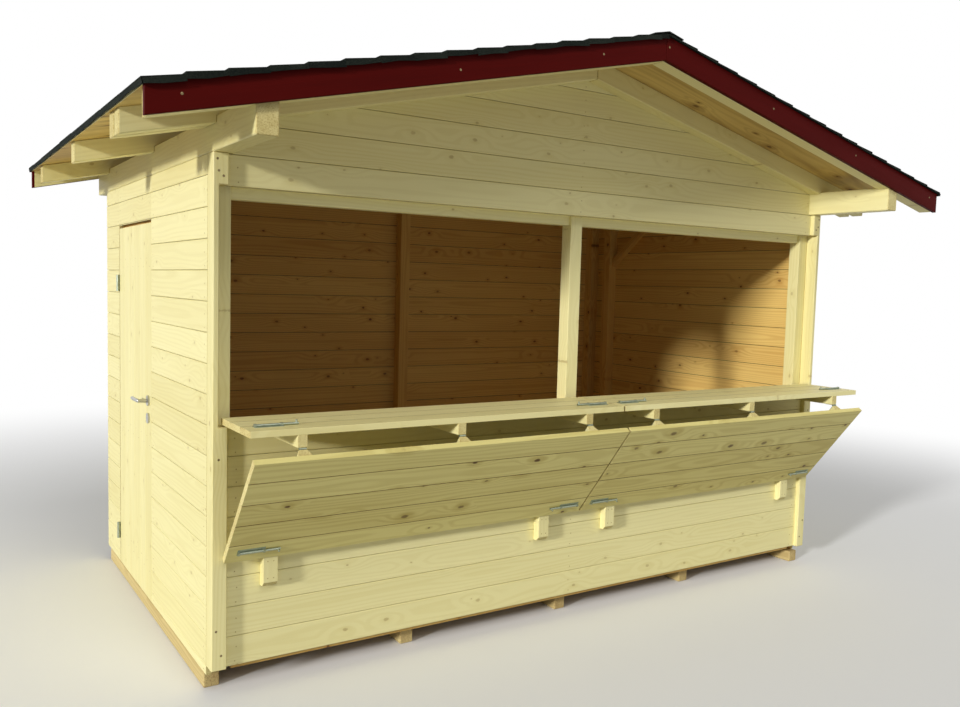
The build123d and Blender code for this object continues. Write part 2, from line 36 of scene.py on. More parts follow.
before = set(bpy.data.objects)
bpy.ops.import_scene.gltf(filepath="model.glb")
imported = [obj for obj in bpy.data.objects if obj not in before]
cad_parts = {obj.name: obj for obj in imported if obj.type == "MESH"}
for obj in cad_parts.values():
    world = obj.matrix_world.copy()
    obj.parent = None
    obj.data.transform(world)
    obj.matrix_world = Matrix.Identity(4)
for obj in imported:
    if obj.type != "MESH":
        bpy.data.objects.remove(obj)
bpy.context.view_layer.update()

# Boards of walls, floor and door, in metres: the outer joint, and the finer one at the inner face.
board_cover = 0.12
joint_slot = 0.0016
joint_chamfer = 0.0026
joint_depth = 0.009
inner_slot = 0.0016
inner_chamfer = 0.001
inner_depth = 0.005
narrowest_board = 0.004
end_clearance = 0.0005
sheet_clearance = 0.0006
gable_tip = 0.012
level_inset = 0.002
floor_setback = 0.02

# Shutter leaves.
counter_board_count = 3
first_flap_board = 0.106
leaf_slot = 0.0017
closed_slot = 0.0002
leaf_chamfer = 0.0012
leaf_gap = 0.004

# Timbers and roof sheets.
timber_chamfer = 0.0035
stud_chamfer = 0.002
batten_chamfer = 0.0015
sheet_chamfer = 0.0006
sheet_joint = 0.0016
end_ring = 0.0042

# Nails and screws.
head_sides = 8
head_seat = 0.0002
nail_radius = 0.0027
nail_height = 0.0005
nail_steps = (0.018, 0.071)
nail_edge = 0.012
nail_end = 0.02
nail_aside = 0.006
nail_lift = 0.004
row_inset = 0.04
row_margin = 0.01
front_middle_row = -0.012
narrow_wall_inset = 0.03
cleat_nail_aside = 0.018
cleat_nail_rise = 0.035
cleat_nail_drop = 0.022
ledge_stagger = 0.02
screw_radius = 0.0048
screw_height = 0.0009

# Places of the screws, across the stall and up. The posts share theirs in mirror image.
post_screws = (
    (1.784, 2.077), (1.779, 2.033), (1.761, 2.015), (1.775, 0.939), (1.782, 0.264), (1.762, 0.164),
)
barge_screws = (
    (-2.041, 2.196), (-1.037, 2.422), (-0.352, 2.59), (0.017, 2.679), (0.715, 2.51), (1.377, 2.358),
    (2.077, 2.197),
)

# Felt shingles and ridge.
course = 0.136
course_lap = 0.01
tab_width = 0.3333
tab_slot = 0.006
felt_bed = 0.0035
felt_butt = 0.0122
felt_inset = 0.003
felt_seat = 0.001
felt_skin = 0.0004
rag = 0.003
foot_rag = 0.004
shortest_course = 0.03
narrowest_tab = 0.02
lip_thickness = 0.003
lip_step = 0.07
eave_droop = (0.007, 0.014)
# The felt lips at the rakes droop, and on the left slope they hang deeper: there the dark felt is also
# painted shade for the felt's shadow.
rake_droop_and_shade = {-1: (0.009, 0.018), 1: (0.001, 0.004)}
ridge_pieces = 9
ridge_lap = 0.04
ridge_tuck = 0.35
felt_clearance = 0.0002

# Floor and sky of the studio.
floor_radius = 40
floor_sides = 64
floor_drop = 0.0006
fade_start, fade_end = 3.6, 8.0
sky_light = 0.34

# Camera at the photograph's viewpoint: heading from +Y towards +X, pitch down, and a slight roll.
eye = (-2.7657, -4.2415, 1.6277)
heading, pitch, roll = 0.578963262, 0.0759143636, -0.0272712118
focal_length = 32.99
sensor_width = 36

# Points closer than weld are one, corners within the tolerance lie on a plane, and edges that bend less
# than blunt_edge aren't eased.
weld = 1e-6
tolerance = 0.0001
blunt_edge = math.radians(12)


def srgb(red, green, blue):
    """A colour written as it reads on screen."""
    channels = [value / 255 for value in (red, green, blue)]
    linear = [c / 12.92 if c <= 0.04045 else ((c + 0.055) / 1.055) ** 2.4 for c in channels]
    return (*linear, 1.0)


class Shader:
    """A material under construction, with short calls for the nodes that the stall's finishes share."""

    def __init__(self, owner):
        """Owner is the material or world whose nodes are to be made."""
        self.owner = owner
        owner.use_nodes = True
        self.tree = owner.node_tree
        self.surface = next(n for n in self.tree.nodes if n.type in ("BSDF_PRINCIPLED", "BACKGROUND"))

    def put(self, socket, value):
        """Links an output to the socket, or sets a plain number, vector or colour on it."""
        if isinstance(value, bpy.types.NodeSocket):
            self.tree.links.new(value, socket)
        else:
            socket.default_value = value

    def attribute(self, name, output):
        node = self.tree.nodes.new("ShaderNodeAttribute")
        node.attribute_name = name
        return node.outputs[output]

    def sum(self, *terms):
        total = terms[0]
        for term in terms[1:]:
            total = self.math("ADD", total, term)
        return total

    def math(self, operation, *values):
        node = self.tree.nodes.new("ShaderNodeMath")
        node.operation = operation
        for socket, value in zip(node.inputs, values):
            self.put(socket, value)
        return node.outputs[0]

    def times(self, value, share):
        return self.math("MULTIPLY", value, share)

    def stretch(self, vector, factors):
        node = self.tree.nodes.new("ShaderNodeVectorMath")
        node.operation = "MULTIPLY"
        self.put(node.inputs[0], vector)
        node.inputs[1].default_value = factors
        return node.outputs[0]

    def split(self, vector):
        node = self.tree.nodes.new("ShaderNodeSeparateXYZ")
        self.put(node.inputs[0], vector)
        return node.outputs

    def length(self, vector):
        node = self.tree.nodes.new("ShaderNodeVectorMath")
        node.operation = "LENGTH"
        self.put(node.inputs[0], vector)
        return node.outputs["Value"]

    def noise(self, vector, factors, detail=2.0, roughness=0.5):
        """Soft noise that repeats about as often per metre as the factors say."""
        node = self.tree.nodes.new("ShaderNodeTexNoise")
        self.put(node.inputs["Vector"], self.stretch(vector, factors))
        node.inputs["Scale"].default_value = 1.0
        node.inputs["Detail"].default_value = detail
        node.inputs["Roughness"].default_value = roughness
        return node.outputs[0]

    def cells(self, vector, factors):
        """Distance to the nearest cell point, and that cell's own colour."""
        node = self.tree.nodes.new("ShaderNodeTexVoronoi")
        self.put(node.inputs["Vector"], self.stretch(vector, factors))
        node.inputs["Scale"].default_value = 1.0
        return node.outputs["Distance"], node.outputs["Color"]

    def scattered(self, vector, factors):
        """Offset in metres from the nearest of many points scattered on a plane, and its colour."""
        node = self.tree.nodes.new("ShaderNodeTexVoronoi")
        node.voronoi_dimensions = "2D"
        scaled = self.stretch(vector, (*factors, 0))
        self.put(node.inputs["Vector"], scaled)
        node.inputs["Scale"].default_value = 1.0
        apart = self.tree.nodes.new("ShaderNodeVectorMath")
        apart.operation = "SUBTRACT"
        self.put(apart.inputs[0], scaled)
        self.put(apart.inputs[1], node.outputs["Position"])
        return self.stretch(apart.outputs[0], (1 / factors[0], 1 / factors[1], 0)), node.outputs["Color"]

    def seen(self):
        """1 on rays from the eye, also by way of a gloss or glass, and 0 on rays that only carry light."""
        paths = self.tree.nodes.new("ShaderNodeLightPath")
        direct = self.math("MAXIMUM", paths.outputs["Is Camera Ray"], paths.outputs["Is Glossy Ray"])
        return self.math("MAXIMUM", direct, paths.outputs["Is Transmission Ray"])

    def remap(self, value, low, high):
        """A smooth step from 0 at the low value to 1 at the high one."""
        node = self.tree.nodes.new("ShaderNodeMapRange")
        node.interpolation_type = "SMOOTHSTEP"
        for socket, number in zip(node.inputs, (value, low, high, 0.0, 1.0)):
            self.put(socket, number)
        return node.outputs[0]

    def mix(self, share, first, second):
        node = self.tree.nodes.new("ShaderNodeMix")
        node.data_type = "RGBA"
        self.put(node.inputs["Factor"], share)
        colours = [socket for socket in node.inputs if socket.type == "RGBA"]
        self.put(colours[0], first)
        self.put(colours[1], second)
        return next(socket for socket in node.outputs if socket.type == "RGBA")

    def bump(self, height, strength, distance):
        node = self.tree.nodes.new("ShaderNodeBump")
        node.inputs["Strength"].default_value = strength
        node.inputs["Distance"].default_value = distance
        self.put(node.inputs["Height"], height)
        self.put(self.surface.inputs["Normal"], node.outputs[0])

    def finish(self, colour, roughness, metallic=0.0, shine=0.5):
        self.put(self.surface.inputs["Base Color"], colour)
        self.put(self.surface.inputs["Roughness"], roughness)
        self.surface.inputs["Metallic"].default_value = metallic
        self.surface.inputs["Specular IOR Level"].default_value = shine
        return self.owner


def wood(
    name, pale, dark, knot, figure=0.5, knots=0.8, roughness=0.6, relief=0.25, ring=0.0085, wave=0.05,
    knot_radius=(0.003, 0.0105), cloud=0.5,
):
    """Sawn softwood: growth rings that bend round knots, fine fibres, and a tone for each piece.

    Ring, wave and knot_radius are in metres. Figure, knots and cloud say how strongly each shows.
    """
    shader = Shader(bpy.data.materials.new(name))
    place = shader.attribute("grain", "Vector")
    tone = shader.attribute("tone", "Fac")
    _, across, through = shader.split(place)

    offset, cell = shader.scattered(place, (2.9, 8.3))
    chance, size, shade = shader.split(cell)
    present = shader.math("GREATER_THAN", chance, 0.38)
    ragged = shader.times(shader.noise(place, (70.0, 110.0, 110.0), detail=3.0), 0.007)
    oval = shader.sum(shader.length(shader.stretch(offset, (0.62, 1.0, 0))), ragged, -0.0035)
    radius = shader.math("MULTIPLY_ADD", size, knot_radius[1] - knot_radius[0], knot_radius[0])
    heart = shader.times(shader.remap(oval, radius, shader.times(radius, 0.45)), present)
    halo = shader.times(shader.remap(oval, shader.times(radius, 3.2), radius), present)
    long_oval = shader.length(shader.stretch(offset, (0.3, 1.0, 0)))
    swirl = shader.times(shader.remap(long_oval, 0.045, 0.004), present)

    wander = shader.noise(place, (0.9, 5.0, 5.0))
    squared = shader.math("MULTIPLY_ADD", across, across, shader.times(through, through))
    log_radius = shader.math("SQRT", squared)
    ring_place = shader.sum(log_radius, shader.times(wander, wave), shader.times(swirl, 1.5 * ring))
    ring_wave = shader.math("SINE", shader.times(ring_place, 2 * math.pi / ring))
    rings = shader.remap(ring_wave, -0.4, 1.0)

    fibres = shader.noise(place, (2.0, 150.0, 150.0))
    clouds = shader.noise(place, (1.1, 9.0, 9.0))
    figured = shader.sum(
        shader.times(rings, 0.55 * figure),
        shader.times(fibres, 0.5 * figure),
        shader.times(clouds, cloud),
        shader.times(tone, 0.45),
        shader.times(halo, 0.35 * knots),
        -0.35,
    )
    body = shader.mix(figured, pale, dark)
    depth = shader.times(heart, shader.math("MULTIPLY_ADD", shade, 0.4 * knots, 0.6 * knots))
    knotted = shader.mix(depth, body, knot)

    rough = shader.math("MULTIPLY_ADD", fibres, 0.16, roughness - 0.08)
    height = shader.sum(shader.times(rings, 0.4), fibres, shader.times(heart, 0.6))
    shader.bump(height, relief, 0.0008)
    return shader.finish(knotted, rough, shine=0.3)


def end_grain(name, pale, dark):
    """The cut end of a timber: tight curved rings, pores and speckles."""
    shader = Shader(bpy.data.materials.new(name))
    place = shader.attribute("grain", "Vector")
    tone = shader.attribute("tone", "Fac")
    _, across, through = shader.split(place)
    wander = shader.noise(place, (8.0, 14.0, 14.0))
    squared = shader.math("MULTIPLY_ADD", across, across, shader.times(through, through))
    ring_place = shader.math("ADD", shader.math("SQRT", squared), shader.times(wander, 0.01))
    ring_wave = shader.math("SINE", shader.times(ring_place, 2 * math.pi / end_ring))
    rings = shader.remap(ring_wave, -0.2, 1.0)
    pores = shader.noise(place, (300.0, 420.0, 420.0), detail=3.0)
    stain = shader.noise(place, (12.0, 18.0, 18.0), detail=3.0)
    spots = shader.noise(place, (120.0, 230.0, 230.0), detail=3.0, roughness=0.6)
    speckle = shader.remap(spots, 0.48, 0.66)
    figured = shader.sum(
        shader.times(rings, 0.3), shader.times(pores, 0.35), shader.times(stain, 0.7),
        shader.times(speckle, 0.5), shader.times(tone, 0.3), -0.5,
    )
    shader.bump(shader.sum(rings, pores), 0.4, 0.0006)
    return shader.finish(shader.mix(figured, pale, dark), 0.75, shine=0.2)


def gloss_paint(name, base, worn):
    """Opaque brushed paint over wood, with faint brush lines and a little wear."""
    shader = Shader(bpy.data.materials.new(name))
    place = shader.attribute("grain", "Vector")
    tone = shader.attribute("tone", "Fac")
    brush = shader.noise(place, (3.0, 240.0, 240.0))
    patches = shader.noise(place, (2.0, 14.0, 14.0), detail=3.0)
    worn_share = shader.sum(
        shader.times(patches, 0.8), shader.times(brush, 0.35), shader.times(tone, 0.1), -0.45
    )
    shader.bump(brush, 0.2, 0.0005)
    rough = shader.math("MULTIPLY_ADD", patches, 0.22, 0.36)
    return shader.finish(shader.mix(worn_share, base, worn), rough, shine=0.03)


def mineral_felt(name, dark, pale):
    """Bitumen shingles with crushed slate: fine granules, and a tone for each tab."""
    shader = Shader(bpy.data.materials.new(name))
    place = shader.attribute("grain", "Vector")
    tone = shader.attribute("tone", "Fac")
    distance, cell = shader.cells(place, (480.0, 480.0, 480.0))
    grit = shader.split(cell)[0]
    patches = shader.noise(place, (9.0, 9.0, 9.0), detail=3.0)
    share = shader.sum(
        shader.times(grit, 0.55), shader.times(patches, 0.5), shader.times(tone, 0.35), -0.4
    )
    shader.bump(shader.sum(grit, shader.times(distance, -1.0)), 0.5, 0.0012)
    return shader.finish(shader.mix(share, dark, pale), 0.86, shine=0.05)


def plated_metal(name, bright, dull, roughness):
    """Plated or cast metal with a mottled bloom."""
    shader = Shader(bpy.data.materials.new(name))
    coordinates = shader.tree.nodes.new("ShaderNodeTexCoord")
    place = coordinates.outputs["Object"]
    bloom = shader.noise(place, (70.0, 70.0, 70.0), detail=4.0)
    scratches = shader.noise(place, (90.0, 900.0, 900.0))
    share = shader.sum(shader.times(bloom, 1.1), shader.times(scratches, 0.2), -0.3)
    rough = shader.math("MULTIPLY_ADD", bloom, 0.25, roughness - 0.12)
    shader.bump(scratches, 0.08, 0.0003)
    return shader.finish(shader.mix(share, bright, dull), rough, metallic=1.0)


cream = wood(
    "cream_paint", srgb(241, 232, 172), srgb(218, 204, 134), srgb(158, 128, 70), figure=0.34, knots=0.5,
    roughness=0.5, relief=0.3, ring=0.017, wave=0.08,
)
cream_end = end_grain("cream_paint_on_ends", srgb(234, 222, 158), srgb(176, 150, 82))
leaf_cream = wood(
    "worn_cream_paint", srgb(230, 218, 142), srgb(190, 170, 92), srgb(98, 72, 34), figure=0.5, knots=1.1,
    roughness=0.55, relief=0.35, ring=0.018, wave=0.12, knot_radius=(0.005, 0.017),
)
# Dark wood for the faces inside the board joints: painted shade, standing for the shadow in the narrow
# slots.
joint_shade_wood = wood(
    "painted_shade_in_joints", srgb(146, 122, 64), srgb(104, 82, 40), srgb(60, 42, 22), figure=0.5, roughness=0.7
)
pine = wood(
    "bare_pine", srgb(236, 200, 116), srgb(202, 152, 74), srgb(104, 58, 24), figure=0.6, knots=0.9,
    roughness=0.62, ring=0.012,
)
pine_end = end_grain("bare_pine_ends", srgb(216, 176, 104), srgb(150, 104, 50))
bearer_wood = wood(
    "bearer_pine", srgb(222, 202, 142), srgb(176, 148, 90), srgb(96, 66, 34), roughness=0.72
)
bearer_end = end_grain("bearer_ends", srgb(226, 206, 144), srgb(150, 112, 60))
floor_wood = wood("floor_pine", srgb(206, 172, 108), srgb(152, 112, 62), srgb(84, 52, 24), roughness=0.68)
deck_wood = wood(
    "roof_sheet", srgb(226, 198, 120), srgb(146, 110, 52), srgb(96, 62, 28), figure=0.3, knots=1.1,
    ring=0.04, wave=0.25, knot_radius=(0.006, 0.02), cloud=0.95,
)
oxblood = gloss_paint("oxblood_paint", srgb(82, 13, 10), srgb(54, 9, 8))
slate = mineral_felt("mineral_felt", srgb(20, 24, 22), srgb(54, 60, 52))
zinc = plated_metal("zinc_plate", srgb(176, 184, 166), srgb(122, 132, 112), 0.42)
handle_metal = plated_metal("handle_metal", srgb(200, 200, 194), srgb(160, 160, 154), 0.3)
nail_paint = gloss_paint("painted_nail", srgb(200, 182, 122), srgb(136, 110, 66))
screw_steel = plated_metal("screw_steel", srgb(150, 132, 96), srgb(88, 72, 50), 0.42)

# Skins of the painted walls and the door, by number: face, end, inner face and joint, whose dark colour is
# painted shade.
wall_skins = (cream, cream_end, pine, joint_shade_wood)

# Skins of a wall board's faces in the order of its section.
painted_outside = [0, 0, 0, 3, 3, 3, 3, 3, 2, 3, 3, 0]


def trimmed(points, faces, skins, cuts, cut_skin):
    """A closed piece after saw cuts. Each cut is a point and the direction in which the waste lies."""
    solid = bmesh.new()
    corners = [solid.verts.new(point) for point in points]
    for face, skin in zip(faces, skins):
        solid.faces.new([corners[index] for index in face]).material_index = skin
    for place, waste in cuts:
        geometry = [*solid.verts, *solid.edges, *solid.faces]
        sawn = bmesh.ops.bisect_plane(
            solid, geom=geometry, dist=weld, plane_co=place, plane_no=waste, clear_outer=True
        )
        rim = [part for part in sawn["geom_cut"] if isinstance(part, bmesh.types.BMEdge)]
        if rim:
            for face in bmesh.ops.edgenet_fill(solid, edges=rim)["faces"]:
                face.material_index = cut_skin
    solid.verts.index_update()
    kept = [vertex.co.copy() for vertex in solid.verts]
    loops = [[vertex.index for vertex in face.verts] for face in solid.faces]
    coats = [face.material_index for face in solid.faces]
    solid.free()
    return kept, loops, coats


def tube(count):
    """Faces of a closed tube between two rings of as many points each: its sides, then its ends."""
    sides = [[i, (i + 1) % count, (i + 1) % count + count, i + count] for i in range(count)]
    return [*sides, list(range(count)), list(range(count, 2 * count))]


class Timbers:
    """One mesh of many straight pieces. Its points carry the grain and tone of their own piece."""

    def __init__(self, *materials, seed):
        self.materials = materials
        self.random = random.Random(seed)
        self.points, self.faces, self.skins, self.grain, self.tones = [], [], [], [], []

    def piece(self, points, faces, skins, axes, cuts=(), cut_skin=1):
        """Adds one closed piece. Axes are its directions along, across and through the grain."""
        if cuts:
            points, faces, skins = trimmed(points, faces, skins, cuts, cut_skin)
        if not points:
            return
        first = len(self.points)
        middle = sum(points, Vector()) / len(points)
        uniform = self.random.uniform
        shift = (uniform(0, 120), uniform(-0.04, 0.04), uniform(0.012, 0.07))
        tone = self.random.random()
        for point in points:
            self.grain.append([(point - middle).dot(axis) + offset for axis, offset in zip(axes, shift)])
        self.points += points
        self.tones += [tone] * len(points)
        self.faces += [[first + index for index in face] for face in faces]
        self.skins += skins

    def prism(self, origin, axes, outline, start, end, side_skins=None, end_skin=0, cuts=()):
        """A straight piece. Its outline is across and through the grain."""
        along, across, through = axes
        count = len(outline)
        points = [
            origin + along * length + across * a + through * b
            for length in (start, end)
            for a, b in outline
        ]
        skins = [*(side_skins or [0] * count), end_skin, end_skin]
        self.piece(points, tube(count), skins, axes, cuts, end_skin)

    def carry(self, node, chamfer, skin=0, end_skin=1, skin_of=None, coat=None, grain=None, cuts=()):
        """Takes over the solids of a CAD node with eased edges.

        skin_of gives a skin for a face's direction, and coat the pair of skins for a solid's middle.
        The grain follows the longest edge unless it is given.
        """
        whole = bmesh.new()
        whole.from_mesh(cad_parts[node].data)
        bmesh.ops.remove_doubles(whole, verts=whole.verts, dist=weld)
        bmesh.ops.dissolve_limit(whole, angle_limit=math.radians(1), verts=whole.verts, edges=whole.edges)
        for faces in islands(whole):
            solid = bmesh.new()
            # A set would put the corners in another order on each run.
            corners = dict.fromkeys(v for face in faces for v in face.verts)
            copies = {v: solid.verts.new(v.co) for v in corners}
            for face in faces:
                solid.faces.new([copies[v] for v in face.verts])
            solid.normal_update()
            longest = max(solid.edges, key=lambda edge: edge.calc_length())
            along = grain or (longest.verts[0].co - longest.verts[1].co).normalized()
            middle = sum((v.co for v in solid.verts), Vector()) / len(solid.verts)
            side, end = coat(middle) if coat else (skin, end_skin)
            flanks = [f for f in solid.faces if abs(f.normal.dot(along)) < 0.1]
            through = max(flanks, key=lambda face: face.calc_area()).normal.copy()
            across = through.cross(along)
            sharp = [e for e in solid.edges if e.is_manifold and e.calc_face_angle() > blunt_edge]
            bmesh.ops.bevel(solid, geom=sharp, offset=chamfer, segments=1, profile=0.5, affect="EDGES")
            solid.verts.index_update()
            solid.normal_update()
            points = [v.co.copy() for v in solid.verts]
            skins = []
            for face in solid.faces:
                if abs(face.normal.dot(along)) > 0.6:
                    skins.append(end)
                else:
                    skins.append(skin_of(face.normal) if skin_of else side)
            loops = [[v.index for v in face.verts] for face in solid.faces]
            self.piece(points, loops, skins, (along, across, through), cuts, end)
            solid.free()
        whole.free()

    def build(self, name, body, replaced, slot):
        """Makes the mesh, which rides on the body and stands for the CAD nodes named, if any."""
        mesh = bpy.data.meshes.new(name)
        mesh.from_pydata(self.points, [], self.faces)
        grain = mesh.attributes.new("grain", "FLOAT_VECTOR", "POINT")
        grain.data.foreach_set("vector", [number for vector in self.grain for number in vector])
        tone = mesh.attributes.new("tone", "FLOAT", "POINT")
        tone.data.foreach_set("value", self.tones)
        mesh.polygons.foreach_set("material_index", self.skins)
        for material in self.materials:
            mesh.materials.append(material)
        outward = bmesh.new()
        outward.from_mesh(mesh)
        bmesh.ops.recalc_face_normals(outward, faces=outward.faces)
        outward.to_mesh(mesh)
        outward.free()
        made = bpy.data.objects.new(name, mesh)
        bpy.context.scene.collection.objects.link(made)
        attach(made, body)
        if replaced:
            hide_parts(*replaced)


def islands(mesh):
    """The faces of a mesh, grouped by the solid that they belong to."""
    groups, seen = [], set()
    for first in mesh.faces:
        if first in seen:
            continue
        seen.add(first)
        group, waiting = [], [first]
        while waiting:
            face = waiting.pop()
            group.append(face)
            for edge in face.edges:
                for neighbour in edge.link_faces:
                    if neighbour not in seen:
                        seen.add(neighbour)
                        waiting.append(neighbour)
        groups.append(group)
    return groups


def seams(bottom, top, first=None):
    """Levels of the joints between boards, from the bottom edge to the top one."""
    levels = [bottom]
    level = bottom + board_cover if first is None else first
    while level < top - narrowest_board:
        levels.append(level)
        level += board_cover
    return levels + [top]


def board_section(low, high, outer, inner, slot, chamfer, back_slot):
    """A board seen from its end, with a joint at its outer face and another at its inner face."""
    into = 1 if inner > outer else -1
    return [
        (low + chamfer, outer),
        (high - chamfer - slot, outer),
        (high - slot, outer + into * chamfer),
        (high - slot, outer + into * joint_depth),
        (high, outer + into * joint_depth),
        (high, inner - into * inner_depth),
        (high - back_slot, inner - into * inner_depth),
        (high - back_slot, inner - into * inner_chamfer),
        (high - back_slot - inner_chamfer, inner),
        (low + inner_chamfer, inner),
        (low, inner - into * inner_chamfer),
        (low, outer + into * chamfer),
    ]


def lay_boards(timbers, axes, levels, outer, inner, start=0, end=0, cuts=(), reach=None):
    """Wall boards edge to edge, from start to end.

    Reach, if given, is a rule for the half length of the boards between two levels instead.
    """
    for low, high in zip(levels, levels[1:]):
        if reach:
            end = reach(low, high)
            start = -end
        section = board_section(low, high, outer, inner, joint_slot, joint_chamfer, inner_slot)
        timbers.prism(Vector(), axes, section, start, end, painted_outside, 1, cuts)


def lay_leaf(timbers, axes, levels, outer, inner, start, end):
    """Boards of a shutter leaf: painted on both faces and the outer edges, with painted shade in the
    joints.
    """
    last = len(levels) - 2
    for number, (low, high) in enumerate(zip(levels, levels[1:])):
        low_skin = 0 if number == 0 else 3
        high_skin = 0 if number == last else 3
        skins = [0, *[high_skin] * 6, 0, 0, 0, low_skin, low_skin]
        slot = closed_slot if number == last else leaf_slot
        section = board_section(low, high, outer, inner, slot, leaf_chamfer, slot)
        timbers.prism(Vector(), axes, section, start, end, skins, 1)


def ring(radius, sides):
    """Corners of a regular polygon."""
    angles = [2 * math.pi * i / sides for i in range(sides)]
    return [(radius * math.cos(angle), radius * math.sin(angle)) for angle in angles]


def drive(timbers, place, normal, radius, height):
    """One nail or screw head on an upright face: a low disc with a rounded rim."""
    first = normal.cross(Z).normalized()
    second = normal.cross(first)
    levels = ((radius, -head_seat), (radius, 0.45 * height), (0.72 * radius, height))
    points = [
        Vector(place) + first * a + second * b + normal * lift
        for size, lift in levels
        for a, b in ring(size, head_sides)
    ]
    *lower, foot, _ = tube(head_sides)
    upper = [[index + head_sides for index in face] for face in lower]
    top = [index + 2 * head_sides for index in foot]
    faces = [*lower, *upper, foot, top]
    timbers.piece(points, faces, [0] * len(faces), (normal, first, second))


def nail_boards(timbers, along, normal, face, levels, rows, nodes=()):
    """Nails in each board on each row of studs. Nodes, if given, are walls that end on a slope."""
    for low, high in zip(levels, levels[1:]):
        for level in (low + step for step in nail_steps if low + step < high - nail_edge):
            for row in rows:
                if nodes and abs(row) > half_width(nodes, level) - nail_end:
                    continue
                aside = timbers.random.uniform(-nail_aside, nail_aside)
                lift = timbers.random.uniform(-nail_lift, nail_lift)
                place = normal * face + along * (row + aside) + Z * (level + lift)
                drive(timbers, place, normal, nail_radius, nail_height)


def middle_of(node, axis):
    """Middle of a CAD node along one axis."""
    low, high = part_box(node)
    return (low[axis] + high[axis]) / 2


def solids_of(node):
    """Low and high corners of each solid of a CAD node."""
    mesh = bmesh.new()
    mesh.from_mesh(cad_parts[node].data)
    bmesh.ops.remove_doubles(mesh, verts=mesh.verts, dist=weld)
    boxes = []
    for faces in islands(mesh):
        corners = [v.co for face in faces for v in face.verts]
        low = Vector([min(c[i] for c in corners) for i in range(3)])
        high = Vector([max(c[i] for c in corners) for i in range(3)])
        boxes.append((low, high))
    mesh.free()
    return boxes


def largest_face(node, towards):
    """Direction of the CAD node's largest face that looks towards a direction."""
    faces = [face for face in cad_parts[node].data.polygons if face.normal.dot(towards) > 0.1]
    return max(faces, key=lambda face: face.area).normal.copy()


def half_width(nodes, level):
    """Half the width of CAD walls at a level, or 0 where there is no wall."""
    widths = [0.0]
    for node in nodes:
        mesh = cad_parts[node].data
        for edge in mesh.edges:
            ends = [mesh.vertices[index].co for index in edge.vertices]
            low, high = sorted(ends, key=lambda place: place.z)
            if low.z <= level <= high.z and low.z < high.z:
                share = (level - low.z) / (high.z - low.z)
                widths.append(abs(low.x + share * (high.x - low.x)))
    return max(widths)


# Places that several pieces share, read from the frame.
deck_low, deck_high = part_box("roof_deck_right")
wall_low, wall_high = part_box("front_lower_wall")
gable_low, gable_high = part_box("front_gable")
back_low, back_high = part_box("back_wall")
back_gable_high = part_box("back_gable")[1]
shingle_low, shingle_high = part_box("shingles_right")
right_low, right_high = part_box("right_wall")
roof_up = largest_face("roof_deck_right", Z)
roof_angle = math.atan2(roof_up.x, roof_up.z)
downhill = {side: Vector((side * math.cos(roof_angle), 0, -math.sin(roof_angle))) for side in (-1, 1)}

# Levels of the joints between the boards of each wall.
front_seams = seams(wall_low.z, wall_high.z)
gable_seams = seams(gable_low.z, gable_high.z - gable_tip)
back_seams = seams(back_low.z, back_gable_high.z - gable_tip, first=wall_low.z)
side_seams = seams(right_low.z, right_high.z, first=wall_low.z)

# Rows of nails, over the studs of each wall. The front and back walls also have a row at each end.
studs = solids_of("wall_studs")
corner_depth = min(high.y for low, high in studs)
end_row = min(low.x for low, high in solids_of("front_posts") if low.x > 0) - row_inset
left_rows = sorted((low.y + high.y) / 2 for low, high in studs if high.x < -end_row)
right_rows = sorted((low.y + high.y) / 2 for low, high in studs if low.x > end_row)
inner_rows = sorted((low.x + high.x) / 2 for low, high in studs if low.x > -end_row and high.x < end_row)
front_rows = [-end_row, front_middle_row, end_row]
back_rows = [-end_row, *inner_rows, end_row]


def gable_slopes(top):
    """Saw cuts along both slopes, just under the roof sheets."""
    ridge = Vector((0, 0, top - sheet_clearance))
    return [(ridge, roof_up), (ridge, Vector((-roof_up.x, 0, roof_up.z)))]


def longest_board(nodes):
    """A rule for the half length of the boards between two levels."""

    def reach(low, high):
        levels = (low + level_inset, (low + high) / 2, high - level_inset)
        return max(half_width(nodes, level) for level in levels) - end_clearance

    return reach


# Front: lower wall, and the gable cut to the roof's slopes.
front = Timbers(*wall_skins, seed=11)
lay_boards(
    front, (X, Z, Y), front_seams, wall_low.y, wall_high.y,
    wall_low.x + end_clearance, wall_high.x - end_clearance,
)
front.build("front_lower_boards", "stall", ["front_lower_wall"], "painted_boards")

gable = Timbers(*wall_skins, seed=12)
lay_boards(
    gable, (X, Z, Y), gable_seams, gable_low.y, gable_high.y,
    cuts=gable_slopes(gable_high.z), reach=longest_board(["front_gable"]),
)
gable.build("front_gable_boards", "stall", ["front_gable"], "painted_boards")

# Back: the wall's boards run on into the gable.
back_nodes = ["back_wall", "back_gable"]
back = Timbers(*wall_skins, seed=13)
lay_boards(
    back, (X, Z, Y), back_seams, back_high.y, back_low.y,
    cuts=gable_slopes(back_gable_high.z), reach=longest_board(back_nodes),
)
back.build("back_boards", "stall", back_nodes, "painted_boards")

# Sides: the left wall in three parts about the door.
right = Timbers(*wall_skins, seed=14)
lay_boards(right, (Y, Z, X), side_seams, right_high.x, right_low.x, right_low.y, right_high.y)
right.build("right_wall_boards", "stall", ["right_wall"], "painted_boards")

left_parts = []
for number, node in enumerate(("left_wall_front", "left_wall_over_door", "left_wall_rear")):
    low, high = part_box(node)
    levels = [low.z, *(level for level in side_seams if level > low.z + narrowest_board)]
    part = Timbers(*wall_skins, seed=15 + number)
    lay_boards(part, (Y, Z, X), levels, low.x, high.x, low.y, high.y)
    part.build(node + "_boards", "stall", [node], "painted_boards")
    left_parts.append((low, high, levels))

# Floor, laid lengthwise.
floor_low, floor_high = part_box("floor_deck")
floor = Timbers(floor_wood, bearer_end, floor_wood, joint_shade_wood, seed=21)
floor_seams = seams(floor_low.y + floor_setback, floor_high.y)
lay_boards(floor, (X, Y, Z), floor_seams, floor_high.z, floor_low.z, floor_low.x, floor_high.x)
floor.build("floor_boards", "stall", ["floor_deck"], "floor_boards")

